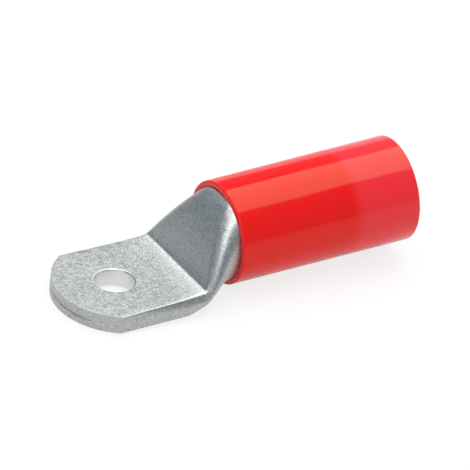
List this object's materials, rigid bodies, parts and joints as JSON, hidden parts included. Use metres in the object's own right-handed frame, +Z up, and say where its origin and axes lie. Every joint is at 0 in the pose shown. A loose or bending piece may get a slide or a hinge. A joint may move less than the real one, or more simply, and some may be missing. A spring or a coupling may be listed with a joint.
{
  "type": "insulated tubular cable lug",
  "caption": "Tinned copper tube lug: a flat palm with a bolt hole, a swaged ramp and a round crimp barrel in a red insulating sleeve that reaches past the cable mouth.",
  "frame": {"origin": "centre of the bolt hole on the palm's underside, the face that is bolted down", "axes": "+X along the barrel from the palm towards the cable mouth, +Z up out of the palm along the bolt, +Y across the palm"},
  "size_m": [0.0789, 0.0262, 0.022],
  "materials": {
    "tinned_copper": "matt tin plating with a fine grain",
    "red_sleeve": "glossy, slightly translucent red plastic"
  },
  "bodies": {
    "root": {"cable_lug": "tinned_copper", "insulating_sleeve": "red_sleeve"}
  },
  "joints": []
}
